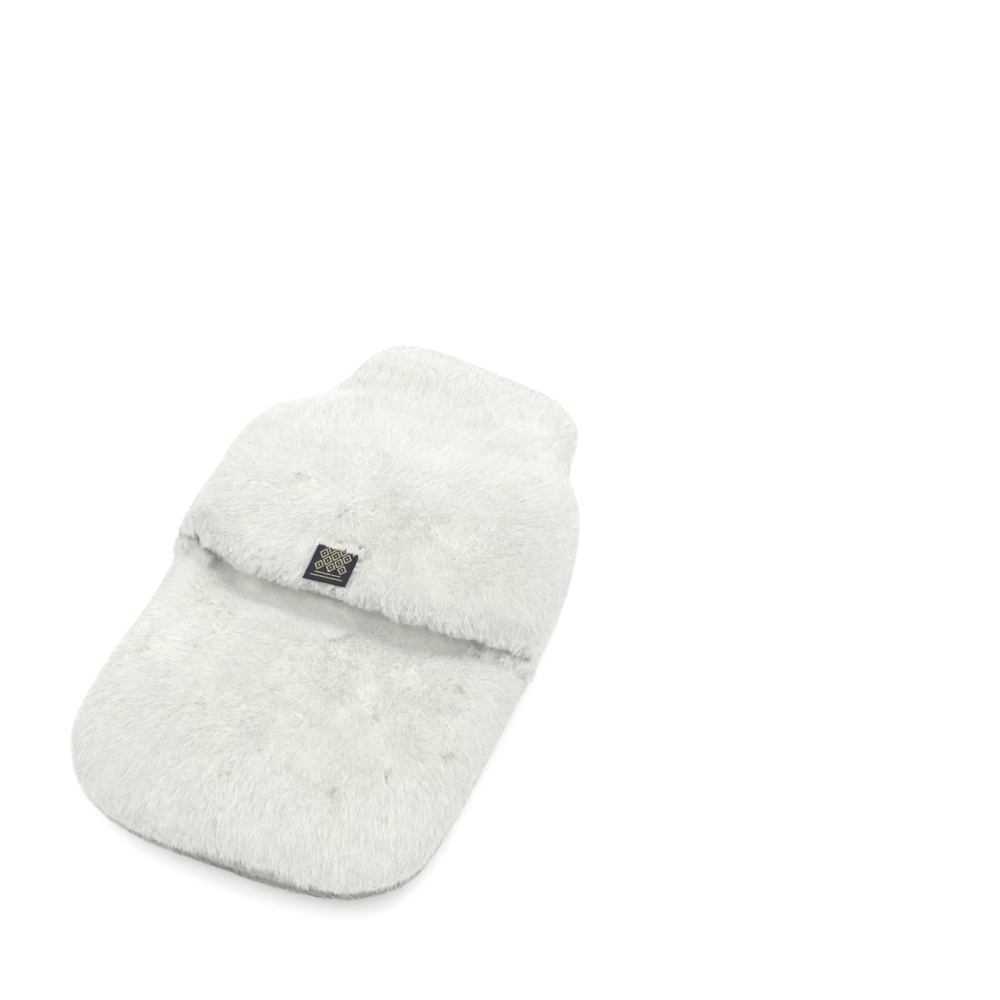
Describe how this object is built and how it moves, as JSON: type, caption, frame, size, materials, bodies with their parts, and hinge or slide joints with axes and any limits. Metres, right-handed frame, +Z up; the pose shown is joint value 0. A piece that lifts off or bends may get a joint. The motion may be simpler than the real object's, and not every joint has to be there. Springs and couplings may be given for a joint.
{
  "type": "hot water bottle cover",
  "caption": "Plump sheepskin pouch for a hot water bottle, lying on its back, with a wide closed neck and a flap that overlaps the lower front.",
  "frame": {"origin": "middle of the cover's box, on the surface that it lies on", "axes": "+Y along the cover to its neck, +X to the right as one looks down at its front, +Z up out of the front"},
  "size_m": [0.2542, 0.4078, 0.0698],
  "materials": {
    "sheepskin_front": "dense soft ivory wool pile",
    "sheepskin_back": "dense soft ivory wool pile, pressed by lying on it",
    "woven_ribbon": "tight navy ribbon weave"
  },
  "bodies": {
    "root": {"back_panel": "sheepskin_back", "lower_front_panel": "sheepskin_front", "front_flap": "sheepskin_front", "woven_label": "woven_ribbon"}
  },
  "joints": []
}
